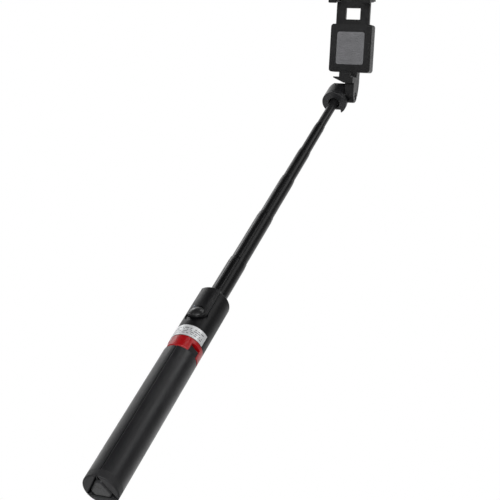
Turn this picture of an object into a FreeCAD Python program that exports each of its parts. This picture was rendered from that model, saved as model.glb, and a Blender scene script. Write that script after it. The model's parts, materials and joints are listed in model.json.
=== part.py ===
import FreeCAD, Part
import math
import os

import Sketcher

# Extending phone stick whose handle opens into three tripod legs.
# Frame: the stick's axis is +Z, its front (remote button, open side of the phone clip) faces -Y,
# and the origin is the middle of the flat end face at the bottom of the handle. Millimetres.

Vector = FreeCAD.Vector
doc = FreeCAD.newDocument("phone_stick")

# ---------------------------------------------------------------------------------------------
# Driving dimensions, one cell each.
# ---------------------------------------------------------------------------------------------
DIMENSIONS = {
    "handle_radius": 14.75,      # outside of legs, hub and collar
    "foot_height": 7.0,          # rubber foot under each leg
    "chord_offset": 7.40,        # flat inner face of a foot, from the stick's axis
    "leg_top": 145.1,            # top of the leg shells
    "leg_bore": 9.7,             # hollow of the closed legs
    "leg_wall": 1.9,
    "leg_sector": 117.8,         # each leg covers a third of the round less the seam
    "hub_bottom": 145.6,
    "hub_top": 158.2,
    "pivot_radius": 11.6,        # leg hinge, from the stick's axis
    "pivot_rise": 5.4,           # leg hinge, above the hub's lower face
    "knuckle_radius": 2.25,
    "slot_width": 9.6,           # slot in the hub for a leg's knuckle
    "pin_radius": 1.0,
    "collar_top": 220.0,
    "label_top": 171.2,
    "label_sector": 150.0,
    "remote_proud": 1.5,         # remote stands this far out of the collar
    "remote_half_width": 8.7,
    "remote_bottom": 181.0,
    "button_radius": 6.0,
    "button_height": 188.2,
    "tube_radius": 9.0,          # outermost tube
    "tube_step": 0.75,           # each tube is this much smaller in radius
    "tube_wall": 0.45,
    "tube_rim": 3.5,             # how far each collapsed tube stands out of the next larger one
    "tube_floor": 13.0,          # lower end of every moving tube when collapsed
    "bush_length": 12.0,
    "running_gap": 0.05,
    "head_radius": 13.0,
    "head_bottom": 558.0,
    "tilt_rise": 16.5,           # clip hinge, above the head's lower face
    "head_flat": 8.3,            # flat side of the head that the clip's arm lies against
    "clip_tilt": 59.0,
    "clip_offset": 9.4,          # clip's mid plane, from the stick's axis
    "arm_thickness": 9.8,
    "arm_radius": 7.0,
    "shelf_reach": 12.6,         # lower jaw, from the clip's mid plane to its free end
    "phone_thickness": 8.2,
    "phone_bottom": 20.8,        # lower pad, above the clip hinge
    "phone_gap": 77.0,           # distance between the lower and upper pads
    "pad_thickness": 1.2,
    "back_half_width": 22.5,
    "back_top": 75.0,
    "finger_spacing": 37.0,
    "finger_width": 8.5,
}

# Top of each moving tube as the stick is drawn out here, above the end face.
TUBE_TOPS = (277.0, 348.5, 411.0, 462.0, 511.5, 567.2)

sheet = doc.addObject("Spreadsheet::Sheet", "dims")
for row, (alias, amount) in enumerate(DIMENSIONS.items(), start=1):
    sheet.set(f"A{row}", alias)
    sheet.set(f"B{row}", str(amount))
    sheet.setAlias(f"B{row}", alias)
for index, amount in enumerate(TUBE_TOPS, start=1):
    row = len(DIMENSIONS) + index
    sheet.set(f"A{row}", f"tube_top_{index}")
    sheet.set(f"B{row}", str(amount))
    sheet.setAlias(f"B{row}", f"tube_top_{index}")
doc.recompute()


class Size:
    """A length or angle that carries both its number and its spreadsheet expression."""

    def __init__(self, value, text):
        self.value = value
        self.text = text

    def joined(self, other, sign, result):
        return Size(result, f"({self.text} {sign} {as_size(other).text})")

    def __add__(self, other):
        return self.joined(other, "+", self.value + as_size(other).value)

    def __sub__(self, other):
        return self.joined(other, "-", self.value - as_size(other).value)

    def __mul__(self, other):
        return self.joined(other, "*", self.value * as_size(other).value)

    def __truediv__(self, other):
        return self.joined(other, "/", self.value / as_size(other).value)

    def __neg__(self):
        return Size(-self.value, f"(-1 * {self.text})")

    def __radd__(self, other):
        return as_size(other) + self

    def __rsub__(self, other):
        return as_size(other) - self

    def __rmul__(self, other):
        return as_size(other) * self


def as_size(amount):
    return amount if isinstance(amount, Size) else Size(float(amount), repr(float(amount)))


def dim(alias):
    """The named cell of the sheet as a Size."""
    return Size(float(sheet.get(alias)), f"dims.{alias}")


# ---------------------------------------------------------------------------------------------
# Small tools that make bound FreeCAD objects.
# ---------------------------------------------------------------------------------------------
counter = [0]
TURN_TO = {"x": (Vector(0, 1, 0), 90), "y": (Vector(1, 0, 0), -90), "z": (Vector(0, 0, 1), 0)}


def fresh(kind, stem="shape"):
    counter[0] += 1
    return doc.addObject(kind, f"{stem}_{counter[0]}")


def bind(obj, prop, amount):
    obj.setExpression(prop, as_size(amount).text)


def place(obj, at=(0, 0, 0), axis=Vector(0, 0, 1), turn=0):
    """Moves obj to at after turning it about axis, all bound to the sheet."""
    x, y, z = (as_size(part) for part in at)
    rotation = FreeCAD.Rotation(axis, as_size(turn).value)
    obj.Placement = FreeCAD.Placement(Vector(x.value, y.value, z.value), rotation)
    for name, part in (("x", x), ("y", y), ("z", z)):
        bind(obj, f"Placement.Base.{name}", part)
    if isinstance(turn, Size):
        bind(obj, "Placement.Rotation.Angle", turn)
    return obj


def cylinder(radius, length, at=(0, 0, 0), along="z", sector=None):
    """A cylinder from at along +x, +y or +z; a sector along z is centred on +X."""
    obj = fresh("Part::Cylinder", "cylinder")
    bind(obj, "Radius", radius)
    bind(obj, "Height", length)
    if sector is None:
        axis, turn = TURN_TO[along]
        return place(obj, at, axis, turn)
    bind(obj, "Angle", sector)
    return place(obj, at, Vector(0, 0, 1), -(as_size(sector) / 2))


def box(low, high):
    """A box between two corners."""
    obj = fresh("Part::Box", "box")
    for prop, start, end in zip(("Length", "Width", "Height"), low, high):
        bind(obj, prop, as_size(end) - as_size(start))
    return place(obj, low)


def sphere(radius, at):
    obj = fresh("Part::Sphere", "sphere")
    bind(obj, "Radius", radius)
    return place(obj, at)


def polygon_prism(sides, flat_radius, length, at, along="z", turn=0):
    """A regular prism given by the distance from its axis to a flat."""
    obj = fresh("Part::Prism", "prism")
    obj.Polygon = sides
    bind(obj, "Circumradius", as_size(flat_radius) / math.cos(math.pi / sides))
    bind(obj, "Height", length)
    if along == "z":
        return place(obj, at, Vector(0, 0, 1), turn)
    axis, quarter = TURN_TO[along]
    return place(obj, at, axis, quarter)


def cut(base, *tools):
    for tool in tools:
        obj = fresh("Part::Cut", "cut")
        obj.Base = base
        obj.Tool = tool
        base = obj
    return base


def fuse(*shapes):
    obj = fresh("Part::MultiFuse", "fuse")
    obj.Shapes = list(shapes)
    obj.Refine = True
    return obj


def common(first, second):
    obj = fresh("Part::Common", "common")
    obj.Base = first
    obj.Tool = second
    return obj


def group(*shapes):
    """Several separate solids in one node."""
    obj = fresh("Part::Compound", "group")
    obj.Links = list(shapes)
    return obj


def around(obj, turn):
    """Obj turned about the stick's axis."""
    return place(group(obj), turn=turn)


def rounded(base, radius, wanted):
    """Rounds the edges of base for which wanted(edge) is true."""
    doc.recompute()
    picked = [n for n, edge in enumerate(base.Shape.Edges, start=1) if wanted(edge)]
    if not picked:
        raise RuntimeError(f"no edge to round on {base.Name}")
    obj = fresh("Part::Fillet", "fillet")
    obj.Base = base
    obj.Edges = [(n, radius, radius) for n in picked]
    return obj


def edge_spans(edge, low, high):
    """True where the edge's box lies inside the box low..high."""
    bounds = edge.BoundBox
    lows = (bounds.XMin, bounds.YMin, bounds.ZMin)
    highs = (bounds.XMax, bounds.YMax, bounds.ZMax)
    inside_low = all(have >= want for have, want in zip(lows, low))
    return inside_low and all(have <= want for have, want in zip(highs, high))


FAR = 1000.0


def sketched(body, plane, points):
    """A closed outline whose corners are tied to the sheet, on a plane of body."""
    sketch = body.newObject("Sketcher::SketchObject", f"outline_{body.Name}")
    origin_plane = next(f for f in body.Origin.OriginFeatures if f.Role == plane)
    sketch.AttachmentSupport = [(origin_plane, "")]
    sketch.MapMode = "FlatFace"
    corners = [(as_size(u), as_size(v)) for u, v in points]
    spots = [Vector(u.value, v.value, 0) for u, v in corners]
    for index, spot in enumerate(spots):
        sketch.addGeometry(Part.LineSegment(spot, spots[(index + 1) % len(spots)]))
    for index in range(len(spots)):
        following = (index + 1) % len(spots)
        sketch.addConstraint(Sketcher.Constraint("Coincident", index, 2, following, 1))
    for index, (u, v) in enumerate(corners):
        for kind, amount in (("DistanceX", u), ("DistanceY", v)):
            tie = Sketcher.Constraint(kind, -1, 1, index, 1, amount.value)
            place_in_list = sketch.addConstraint(tie)
            sketch.setExpression(f"Constraints[{place_in_list}]", amount.text)
    return sketch


def turned_body(points):
    """A body revolved about the Z axis from (radius, height) corners."""
    body = fresh("PartDesign::Body", "turned")
    sketch = sketched(body, "XZ_Plane", points)
    turning = body.newObject("PartDesign::Revolution", f"turning_{body.Name}")
    turning.Profile = sketch
    turning.ReferenceAxis = (sketch, ["V_Axis"])
    turning.Angle = 360
    return body


def prism_body(plane, points, length):
    """A body padded evenly to both sides of an origin plane."""
    body = fresh("PartDesign::Body", "padded")
    sketch = sketched(body, plane, points)
    pad = body.newObject("PartDesign::Pad", f"pad_{body.Name}")
    pad.Profile = sketch
    bind(pad, "Length", length)
    pad.Midplane = True
    return body


nodes = {}


def keep(label, obj):
    """Registers a finished sub-part under its node name."""
    obj.Label = label
    nodes[label] = obj
    return obj


# ---------------------------------------------------------------------------------------------
# Places that several sub-parts share.
# ---------------------------------------------------------------------------------------------
handle_radius = dim("handle_radius")
foot_height = dim("foot_height")
leg_top = dim("leg_top")
hub_bottom = dim("hub_bottom")
hub_top = dim("hub_top")
collar_top = dim("collar_top")
pivot_radius = dim("pivot_radius")
leg_pivot_height = hub_bottom + dim("pivot_rise")
running_gap = dim("running_gap")
tube_wall = dim("tube_wall")
LEG_TURNS = (-30, 90, 210)           # the seams then lie at the front and 120 degrees either way
housing_bore = dim("tube_radius") + running_gap
OUTER_TUBE_BOTTOM = 9.0
spigot_radius = 12.4
spigot_height = 8.0
screw_height = hub_top + 4.6


def leg_screw_shapes():
    """Small round-headed screws that join hub and collar, one at each leg's middle."""
    shapes = []
    for turn in LEG_TURNS:
        shank = cylinder(1.0, 3.6, (9.8, 0, screw_height), "x")
        head = cylinder(1.8, 1.1, (13.2, 0, screw_height), "x")
        screw = fuse(shank, head)
        shapes.append(around(screw, turn))
    return shapes


# ---------------------------------------------------------------------------------------------
# Handle: three leg shells with rubber feet round a central core.
# ---------------------------------------------------------------------------------------------
def leg_shell(turn):
    """A third of the handle: a hollow channel with a hinge knuckle at its upper end."""
    sector = dim("leg_sector")
    knuckle = dim("knuckle_radius")
    width = dim("slot_width") - 0.4
    height = leg_top - foot_height
    outside = cylinder(handle_radius, height, (0, 0, foot_height), sector=sector)
    bore = cylinder(dim("leg_bore"), height + 2, (0, 0, foot_height - 1))
    hollow = cylinder(handle_radius - dim("leg_wall"), height - 18, (0, 0, foot_height + 9),
                      sector=sector - 20)
    mortise = box((10.4, -5, foot_height - 1), (12.4, 5, foot_height + 3.5))
    channel = cut(outside, bore, hollow, mortise)
    softened = rounded(channel, 0.9, lambda edge: edge.Length > 100
                       and edge.BoundBox.DiagonalLength - edge.Length < 0.01
                       and math.hypot(edge.BoundBox.Center.x, edge.BoundBox.Center.y) > 14.5)
    stem = box((pivot_radius - knuckle, -(width / 2), leg_top - 2),
               (pivot_radius + knuckle, width / 2, leg_pivot_height))
    barrel = cylinder(knuckle, width, (pivot_radius, -(width / 2), leg_pivot_height), "y")
    pin_hole = cylinder(dim("pin_radius") + running_gap, 20, (pivot_radius, -10, leg_pivot_height),
                        "y")
    leg = cut(fuse(softened, stem, barrel), pin_hole)
    return around(leg, turn)


def foot(turn):
    """A rubber foot: a segment of the round with a flat inner face and a peg into the leg."""
    disc = cylinder(handle_radius, foot_height)
    segment = common(disc, box((dim("chord_offset"), -15, 0), (15, 15, foot_height)))
    bevelled = rounded(segment, 1.3, lambda edge: edge_spans(edge, (-FAR, -FAR, -0.01),
                                                             (FAR, FAR, 0.01)))
    peg = box((10.4, -5, foot_height - 1), (12.4, 5, foot_height + 3.5))
    return around(fuse(bevelled, peg), turn)


for number, turn in enumerate(LEG_TURNS, start=1):
    keep(f"leg_shell_{number}", leg_shell(turn))
    keep(f"foot_{number}", foot(turn))


def core_cap():
    """The rounded triangle between the feet, plugged into the outermost tube.

    It is narrow enough to lift inside the closed legs with that tube.
    """
    gap = 0.3
    inner_flat = dim("chord_offset") - 0.4
    thickness = foot_height - gap
    shoulder = foot_height + gap
    triangle = polygon_prism(3, inner_flat, thickness, (0, 0, 0), turn=-90)
    trimmed = common(triangle, cylinder(dim("leg_bore") - 0.4, thickness))
    domed = rounded(trimmed, 2.2, lambda edge: edge_spans(edge, (-FAR, -FAR, -0.01),
                                                          (FAR, FAR, 0.01)))
    neck = cylinder(inner_flat, 3, (0, 0, thickness - 1))
    stub = cylinder(dim("tube_radius"), OUTER_TUBE_BOTTOM - shoulder, (0, 0, shoulder))
    plug = cylinder(dim("tube_radius") - tube_wall, 3.5, (0, 0, OUTER_TUBE_BOTTOM - 1))
    return fuse(domed, neck, stub, plug)


keep("core_cap", core_cap())


# ---------------------------------------------------------------------------------------------
# Hub, hinge pins, collar and label.
# ---------------------------------------------------------------------------------------------
def hub():
    """The red ring that carries the legs, with a spigot up into the collar."""
    knuckle = dim("knuckle_radius")
    half_slot = dim("slot_width") / 2
    ring = cylinder(handle_radius, hub_top - hub_bottom, (0, 0, hub_bottom))
    eased = fresh("Part::Chamfer", "chamfer")
    doc.recompute()
    eased.Base = ring
    lower_rim = [n for n, edge in enumerate(ring.Shape.Edges, start=1)
                 if edge.BoundBox.ZMax < hub_bottom.value + 0.01 and edge.Closed]
    eased.Edges = [(n, 1.0, 1.0) for n in lower_rim]
    spigot = cylinder(spigot_radius, spigot_height + 2, (0, 0, hub_top - 2))
    body = cut(fuse(eased, spigot), cylinder(housing_bore, 40, (0, 0, hub_bottom - 10)))
    cutters = []
    slot_top = leg_pivot_height + knuckle + 1.3
    for turn in LEG_TURNS:
        slot = box((8, -half_slot, hub_bottom - 1), (16, half_slot, slot_top))
        pin = cylinder(dim("pin_radius"), 13.2, (pivot_radius, -6.6, leg_pivot_height), "y")
        cutters.append(around(fuse(slot, pin), turn))
    return cut(body, *cutters, *leg_screw_shapes())


def leg_pins():
    shapes = []
    for turn in LEG_TURNS:
        pin = cylinder(dim("pin_radius"), 13.2, (pivot_radius, -6.6, leg_pivot_height), "y")
        shapes.append(around(pin, turn))
    return group(*shapes)


def remote_outline(half_width, bottom, front, back, top):
    """A tongue with a round lower end, as deep as from front to back."""
    round_end = cylinder(half_width, back - front, (0, front, bottom + half_width), "y")
    upright = box((-half_width, front, bottom + half_width), (half_width, back, top))
    return fuse(round_end, upright)


POCKET_BACK = -9.9                    # flat floor of the remote's pocket, from the stick's axis
RECESS_RADIUS = 9.8                   # shallow recess that lets a fingertip reach under the remote
RECESS_FLOOR = 13.7                   # floor of that recess, from the stick's axis
RECESS_RISE = 5.0                     # its centre, above the remote's lower end


def collar_housing():
    """The black collar above the hub, with the remote's pocket at the front."""
    height = collar_top - hub_top
    pocket_gap = 0.25
    outside = cylinder(handle_radius, height, (0, 0, hub_top))
    softened = rounded(outside, 2.5, lambda edge: edge.BoundBox.ZMin > collar_top.value - 0.01
                       and edge.Closed)
    bore = cylinder(housing_bore, height + 4, (0, 0, hub_top - 2))
    socket = cylinder(as_size(spigot_radius) + running_gap, spigot_height + 2.3, (0, 0, hub_top - 2))
    pocket = remote_outline(dim("remote_half_width") + pocket_gap,
                            dim("remote_bottom") - pocket_gap, as_size(-20), as_size(POCKET_BACK),
                            collar_top + 1)
    recess_round = cylinder(RECESS_RADIUS, 10, (0, -20, dim("remote_bottom") + RECESS_RISE), "y")
    recess = cut(recess_round, cylinder(RECESS_FLOOR, 40, (0, 0, dim("remote_bottom") - 20)))
    heads = []
    for turn in LEG_TURNS:
        head = cylinder(1.9, 3, (13.2, 0, screw_height), "x")
        heads.append(around(head, turn))
    return cut(softened, bore, socket, pocket, recess, *heads, *leg_screw_shapes())


def label_band():
    """A thin blank label round the front of the collar."""
    height = dim("label_top") - hub_top - 0.7
    sector = dim("label_sector")
    outer = cylinder(handle_radius + 0.2, height, (0, 0, hub_top + 0.5), sector=sector)
    inner = cylinder(handle_radius + 0.03, height + 2, (0, 0, hub_top - 0.5))
    return around(cut(outer, inner), -90)


keep("hub", hub())
keep("leg_pins", leg_pins())
keep("hub_screws", group(*leg_screw_shapes()))
keep("collar_housing", collar_housing())
keep("label_band", label_band())


# ---------------------------------------------------------------------------------------------
# Remote: shell, base plate, board, cell, light and its button.
# ---------------------------------------------------------------------------------------------
button_height = dim("button_height")
remote_top = collar_top
BUTTON_FACE = -17.4                   # front of the shutter button
CEILING = -14.7                       # inside of the remote's front wall
BASE_FRONT = -10.95
BASE_BACK = -10.1
BOARD_FRONT = -11.8
LIGHT_SPOT = (-4.3, 5.7)              # indicator, beside and above the button's centre
CELL_RISE = 13.6                      # button cell's centre above the shutter button's


def room_in_remote(half_width, front, back, top):
    """An upright with a round lower end about the button's centre."""
    round_end = cylinder(half_width, back - front, (0, front, button_height), "y")
    return fuse(round_end, box((-half_width, front, button_height), (half_width, back, top)))


def remote_shell():
    front_radius = handle_radius + dim("remote_proud")
    tongue = remote_outline(dim("remote_half_width"), dim("remote_bottom"), as_size(-20),
                            as_size(BASE_FRONT), remote_top)
    curved = common(tongue, cylinder(front_radius, 80, (0, 0, collar_top - 60)))
    eased = rounded(curved, 1.1, lambda edge: edge.BoundBox.YMax < -13.0)
    cavity = room_in_remote(6.6, CEILING, BASE_FRONT + 1, remote_top - 1.5)
    opening = cylinder(dim("button_radius") + 0.15, 8, (0, -20, button_height), "y")
    light = cylinder(0.7, 8, (LIGHT_SPOT[0], -20, button_height + LIGHT_SPOT[1]), "y")
    return cut(eased, cavity, opening, light)


def remote_base():
    return remote_outline(dim("remote_half_width"), dim("remote_bottom"), as_size(BASE_FRONT),
                          as_size(BASE_BACK), remote_top)


def remote_board():
    board = room_in_remote(6.3, BOARD_FRONT, BASE_FRONT - 0.05, remote_top - 2)
    switch = cylinder(2.0, 0.8, (0, BOARD_FRONT - 0.8, button_height), "y")
    return fuse(board, switch)


def shutter_button():
    """A domed button with a flange behind the shell and a stem over the switch."""
    radius = dim("button_radius")
    cap = cylinder(radius, -14.0 - BUTTON_FACE, (0, BUTTON_FACE, button_height), "y")
    domed = rounded(cap, 1.2, lambda edge: edge.BoundBox.YMax < BUTTON_FACE + 0.1 and edge.Closed)
    flange = cylinder(radius + 0.3, 0.6, (0, CEILING + 0.1, button_height), "y")
    stem = cylinder(1.2, 1.0, (0, -14.2, button_height), "y")
    return fuse(domed, flange, stem)


keep("remote_shell", remote_shell())
keep("remote_base", remote_base())
keep("remote_board", remote_board())
keep("button_cell", cylinder(5.0, 2.5, (0, -14.4, button_height + CELL_RISE), "y"))
keep("indicator_light", cylinder(0.7, 2.8, (LIGHT_SPOT[0], -15.7, button_height + LIGHT_SPOT[1]), "y"))
keep("shutter_button", shutter_button())


# ---------------------------------------------------------------------------------------------
# Telescopic tubes: number 0 is the outermost, which lifts through the hub; 1 to 6 draw out of it.
# ---------------------------------------------------------------------------------------------
RIM_CRIMP = 5.0                       # length of the drawn-in mouth
RIM_LAND = 1.5                        # straight part of the mouth
GROOVE_WIDTH = 1.0
GROOVE_DEPTH = 0.22
BUSH_SPLIT = 3.0


def tube_outer(index):
    return dim("tube_radius") - dim("tube_step") * index


def tube_length(index):
    return collar_top - 0.5 + dim("tube_rim") * index - dim("tube_floor")


def tube(index, length, crimped=True):
    """A drawn tube: crimped mouth round the next tube, shallow guide groove along the front."""
    outer = tube_outer(index)
    inner = outer - tube_wall
    outline = [(inner, 0), (outer, 0)]
    if crimped:
        mouth = outer - dim("tube_step") + running_gap + 0.01
        outline += [(outer, length - RIM_CRIMP), (mouth + tube_wall, length - RIM_LAND),
                    (mouth + tube_wall, length), (mouth, length), (mouth, length - RIM_LAND),
                    (inner, length - RIM_CRIMP)]
    else:
        outline += [(outer, length), (inner, length)]
    turned = turned_body(outline)
    reach = length - RIM_CRIMP if crimped else length
    groove = box((-GROOVE_WIDTH / 2, -(outer + 1), -1),
                 (GROOVE_WIDTH / 2, -(outer - GROOVE_DEPTH), reach))
    return cut(turned, groove)


def bush(index):
    """A split nylon sleeve on the lower end of a tube, running in the next larger tube."""
    outer = tube_outer(index)
    rubbing = outer + dim("tube_step") - tube_wall - running_gap
    length = dim("bush_length")
    sleeve = turned_body([(outer, 0), (outer, length), (rubbing, length), (rubbing, -1),
                          (outer - tube_wall, -1), (outer - tube_wall, 0)])
    split = box((-BUSH_SPLIT / 2, -12, -2), (BUSH_SPLIT / 2, 0, length + 1))
    return cut(sleeve, split)


outer_length = collar_top - 1.5 - OUTER_TUBE_BOTTOM
keep("outer_tube", place(tube(0, outer_length), (0, 0, OUTER_TUBE_BOTTOM)))

for index in range(1, len(TUBE_TOPS) + 1):
    length = tube_length(index)
    bottom = dim(f"tube_top_{index}") - length
    last = index == len(TUBE_TOPS)
    keep(f"tube_{index}", place(tube(index, length, crimped=not last), (0, 0, bottom)))
    keep(f"tube_bush_{index}", place(bush(index), (0, 0, bottom)))


# ---------------------------------------------------------------------------------------------
# Swivelling head. Its own heights are counted from the clip's hinge.
# ---------------------------------------------------------------------------------------------
head_radius = dim("head_radius")
tilt_rise = dim("tilt_rise")
tilt_height = dim("head_bottom") + tilt_rise
head_flat = dim("head_flat")
arm_inner = head_flat + 0.3
arm_outer = arm_inner + dim("arm_thickness")
last_radius = tube_outer(len(TUBE_TOPS))
TUBE_SEAT = -7.0                      # top of the bore that turns on the last tube
SCREW_SEAT = -4.5                     # face that the swivel washer bears on
FLANGE_TOP = -10.9
SCREW_RADIUS = 2.0                    # tilt screw
NUT_FLAT = 3.5
NUT_SEAT = -9.6
SCREW_END = -12.4                     # end of the tilt screw on the nut's side
SCREW_HEAD_SINK = 2.0                 # depth of the tilt screw's head in the arm


def on_head(obj):
    return place(obj, (0, 0, tilt_height))


def head_block():
    """A round block: flange below, domed top across the hinge, flat on the arm's side."""
    column = cylinder(head_radius, tilt_rise + head_radius, (0, 0, -tilt_rise))
    lower = box((-14, -14, -tilt_rise), (14, 14, 0))
    dome = cylinder(head_radius, 28, (-14, 0, 0), "x")
    cheek = common(dome, sphere(head_radius + 1.3, (1.1, 0, 0)))
    block = common(column, fuse(lower, cheek))
    flat = box((head_flat, -15, FLANGE_TOP), (15, 15, 15))
    shaped = cut(block, flat)
    rim = rounded(shaped, 0.8, lambda edge: edge.BoundBox.ZMax < -tilt_rise.value + 0.01)
    tube_bore = cylinder(last_radius + running_gap, tilt_rise + TUBE_SEAT, (0, 0, -tilt_rise))
    mouth = cylinder(6.0, 5.5, (0, 0, -tilt_rise))
    screw_way = cylinder(1.6, 10, (0, 0, TUBE_SEAT - 2))
    head_way = cylinder(3.7, 20, (0, 0, SCREW_SEAT))
    back_slot = box((-6.5, 7.4, -tilt_rise - 1), (6.5, 15, -4))
    tilt_way = cylinder(SCREW_RADIUS + 0.05, 40, (-20, 0, 0), "x")
    nut_way = polygon_prism(6, NUT_FLAT + 0.1, 10, (NUT_SEAT - 10, 0, 0), "x")
    return on_head(cut(rim, tube_bore, mouth, screw_way, head_way, back_slot, tilt_way, nut_way))


def swivel_screw():
    shank = cylinder(1.5, 11.5, (0, 0, SCREW_SEAT + 0.5 - 11.5))
    head = cylinder(3.0, 1.7, (0, 0, SCREW_SEAT + 0.5))
    return on_head(fuse(shank, head))


def swivel_washer():
    return on_head(cut(cylinder(3.4, 0.5, (0, 0, SCREW_SEAT)), cylinder(1.55, 2, (0, 0, SCREW_SEAT - 1))))


def tube_plug():
    plug = cylinder(last_radius - tube_wall, 9.0, (0, 0, TUBE_SEAT - 0.3 - 9.0))
    return on_head(cut(plug, cylinder(1.5, 12, (0, 0, TUBE_SEAT - 10.5))))


def tilt_screw():
    seat = arm_outer - SCREW_HEAD_SINK
    shank = cylinder(SCREW_RADIUS, seat - SCREW_END + 0.2, (SCREW_END, 0, 0), "x")
    head = cylinder(3.5, 1.7, (seat, 0, 0), "x")
    return on_head(fuse(shank, head))


def tilt_nut():
    nut = polygon_prism(6, NUT_FLAT, 2.6, (NUT_SEAT - 2.6, 0, 0), "x")
    return on_head(cut(nut, cylinder(SCREW_RADIUS, 20, (-20, 0, 0), "x")))


def tilt_washer():
    disc = cylinder(6.0, 0.3, (head_flat, 0, 0), "x")
    return on_head(cut(disc, cylinder(SCREW_RADIUS + 0.05, 4, (head_flat - 1, 0, 0), "x")))


keep("head_block", head_block())
keep("swivel_screw", swivel_screw())
keep("swivel_washer", swivel_washer())
keep("tube_plug", tube_plug())
keep("tilt_screw", tilt_screw())
keep("tilt_nut", tilt_nut())
keep("tilt_washer", tilt_washer())


# ---------------------------------------------------------------------------------------------
# Phone clip, drawn upright round its hinge and then tilted forward as one.
# ---------------------------------------------------------------------------------------------
clip_middle = dim("clip_offset")
back_half = dim("back_half_width")
phone_bottom = dim("phone_bottom")
phone_top = phone_bottom + dim("phone_gap")
pad = dim("pad_thickness")
phone_front = -(dim("phone_thickness"))
lip_back = phone_front - pad
lip_front = lip_back - 2.8
shelf_top = phone_bottom - pad
SHELF_BOTTOM = 13.4                  # underside of the lower jaw over the arm
SHELF_TIP = 1.2                       # thickness of the shelf's free end
BACK_FRONT = 1.0                      # front face of the clip's back housing
BACK_REAR = 11.0
ARM_REAR = 10.4                       # back of the arm, which clears the head's flange
COVER = 1.4
CHANNEL_HALF = 18.4
CHANNEL_FRONT = 2.8
CHANNEL_FLOOR = 30.0
back_top = dim("back_top")
ROD_RADIUS = 1.25
ROD_SPREAD = 13.0
ROD_DEPTH = 5.2
SPRING_SPREAD = 6.0
SLIDER_FRONT = 3.2
SLIDER_REAR = 7.2
SLIDER_BOTTOM = 52.0
SPRING_RADIUS = 2.0
SPRING_TOP = 70.0                     # upper end of the slider's spring slots
SCREW_SPOTS = ((-17.0, 27.5), (17.0, 27.5), (-20.5, 69.0), (20.5, 69.0))


def tilted(obj):
    """Puts a clip piece on the hinge at the clip's rest tilt."""
    return place(obj, (0, 0, tilt_height), Vector(1, 0, 0), dim("clip_tilt"))


def along_clip(low, high):
    """A box given from the clip's mid plane instead of the stick's axis."""
    return box((clip_middle + low[0], low[1], low[2]), (clip_middle + high[0], high[1], high[2]))


def cover_screw_shapes():
    shapes = []
    for across, up in SCREW_SPOTS:
        shank = cylinder(0.8, 6.0, (clip_middle + across, BACK_REAR + COVER - 1.0 - 6.0, up), "y")
        head = cylinder(1.5, 0.8, (clip_middle + across, BACK_REAR + COVER - 1.0, up), "y")
        shapes.append(fuse(shank, head))
    return shapes


def clip_frame():
    """Lower jaw, arm and the channel for the upper jaw in one moulding."""
    radius = dim("arm_radius")
    free_end = clip_middle - dim("shelf_reach")
    depth = BACK_REAR - lip_front
    wedge = prism_body("XZ_Plane", [
        (free_end, shelf_top), (free_end, shelf_top - SHELF_TIP), (arm_inner, SHELF_BOTTOM),
        (arm_outer, SHELF_BOTTOM), (arm_outer, shelf_top)], depth)
    shelf = place(group(wedge), (0, (lip_front + BACK_REAR) / 2, 0))
    lip = along_clip((-5.6, lip_front, shelf_top - 3), (5.6, lip_back, phone_bottom + 4.0))
    soft_lip = rounded(lip, 1.0, lambda edge: edge.BoundBox.ZMin > phone_bottom.value + 3.9)
    boss = cylinder(radius, dim("arm_thickness"), (arm_inner, 0, 0), "x")
    soft_boss = rounded(boss, 1.5, lambda edge: edge.Closed
                        and edge.BoundBox.XMin > arm_outer.value - 0.01)
    side = prism_body("YZ_Plane", [
        (-radius, 0), (radius, 0), (ARM_REAR, ARM_REAR), (ARM_REAR, shelf_top),
        (-radius, shelf_top)], dim("arm_thickness"))
    arm = place(group(side), ((arm_inner + arm_outer) / 2, 0, 0))
    stem = box((free_end + 2, BACK_FRONT, shelf_top - SHELF_TIP), (arm_outer, BACK_REAR, 28))
    back = along_clip((-back_half, BACK_FRONT, 25), (back_half, BACK_REAR, back_top))
    soft_back = rounded(back, 3.0, lambda edge: edge.BoundBox.YLength > 9)
    solid = fuse(shelf, soft_lip, soft_boss, arm, stem, soft_back)
    channel = along_clip((-CHANNEL_HALF, CHANNEL_FRONT, CHANNEL_FLOOR),
                         (CHANNEL_HALF, BACK_REAR + 1, back_top + 1))
    hinge_way = cylinder(SCREW_RADIUS + running_gap, 20, (arm_inner - 5, 0, 0), "x")
    head_way = cylinder(3.8, 6, (arm_outer - SCREW_HEAD_SINK, 0, 0), "x")
    sockets = []
    for side in (-1, 1):
        sockets.append(cylinder(ROD_RADIUS, 6, (clip_middle + side * ROD_SPREAD, ROD_DEPTH, 26.5)))
    return tilted(cut(solid, channel, hinge_way, head_way, *sockets, *cover_screw_shapes()))


def clip_cover():
    plate = along_clip((-back_half, BACK_REAR, 25), (back_half, BACK_REAR + COVER, back_top))
    soft = rounded(plate, 3.0, lambda edge: 1.3 < edge.BoundBox.YLength < 1.5)
    heads = []
    for across, up in SCREW_SPOTS:
        heads.append(cylinder(1.6, 3, (clip_middle + across, BACK_REAR + COVER - 1.0, up), "y"))
    return tilted(cut(soft, *heads, *cover_screw_shapes()))


def lower_jaw_pad():
    tread = along_clip((-6.4, lip_back, shelf_top), (6.4, BACK_FRONT - 0.1, phone_bottom))
    face = along_clip((-5.3, lip_back, shelf_top), (5.3, phone_front, phone_bottom + 3.2))
    return tilted(fuse(tread, face))


def back_pad():
    plate = along_clip((-15, 0.2, 33), (15, BACK_FRONT, 67))
    return tilted(rounded(plate, 2.5, lambda edge: 0.7 < edge.BoundBox.YLength < 0.9))


def guide_rods():
    rods = []
    for side in (-1, 1):
        rods.append(cylinder(ROD_RADIUS, 46.5, (clip_middle + side * ROD_SPREAD, ROD_DEPTH, 26.5)))
    return tilted(group(*rods))


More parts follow.
